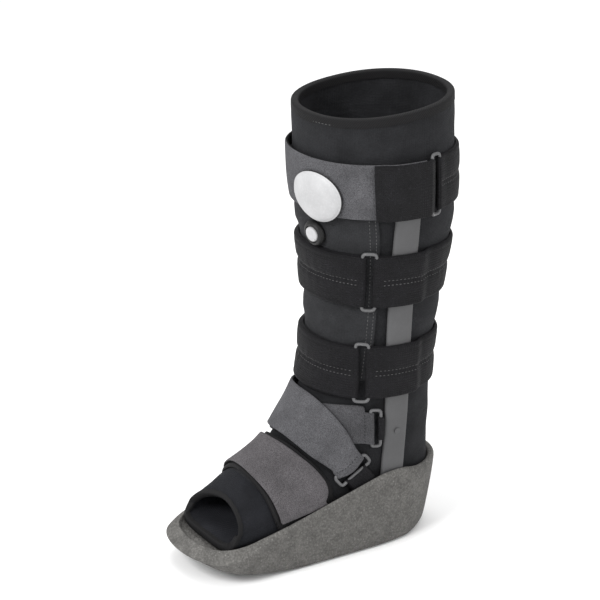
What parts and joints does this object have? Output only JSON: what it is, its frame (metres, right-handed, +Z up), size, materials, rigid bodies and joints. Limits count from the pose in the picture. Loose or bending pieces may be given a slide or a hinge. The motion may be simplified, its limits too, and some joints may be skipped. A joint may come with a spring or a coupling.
{
  "type": "medical walking boot",
  "caption": "Tall orthopaedic walking boot with a rocker sole, padded open-toe liner, side bars and ringed closure straps.",
  "frame": {"origin": "on the floor plane, on the sole's flat underside, below the middle of the shaft", "axes": "+Z up the shaft, -Y towards the toes, +X towards the outer side of the left foot"},
  "size_m": [0.1676, 0.2931, 0.443],
  "materials": {
    "liner_cloth": "dull foam-backed knit",
    "grey_loop_cloth": "brushed loop felt",
    "black_webbing": "padded woven webbing",
    "bar_plastic": "satin moulded",
    "ring_plastic": "satin moulded",
    "sole_rubber": "fine pebble",
    "disc_rubber": "smooth satin",
    "valve_plastic": "satin moulded"
  },
  "bodies": {
    "root": {"liner": "liner_cloth", "front_panel": "liner_cloth", "upright_lateral": "bar_plastic", "upright_medial": "bar_plastic", "rivet_lateral": "bar_plastic", "rivet_medial": "bar_plastic", "sole_shell": "sole_rubber", "forefoot_pad": "liner_cloth", "forefoot_strap": "grey_loop_cloth", "high_ankle_ring": "ring_plastic", "low_ankle_ring": "ring_plastic", "high_ankle_strap": "grey_loop_cloth", "low_ankle_strap": "grey_loop_cloth", "high_ankle_link": "black_webbing", "low_ankle_link": "black_webbing", "lower_strap": "black_webbing", "lower_ring": "ring_plastic", "middle_strap": "black_webbing", "middle_ring": "ring_plastic", "top_strap_front": "grey_loop_cloth", "top_strap_tab": "black_webbing", "top_strap_side": "black_webbing", "top_ring": "ring_plastic", "pump_bulb": "disc_rubber", "valve_housing": "valve_plastic", "valve_button": "disc_rubber"}
  },
  "joints": []
}
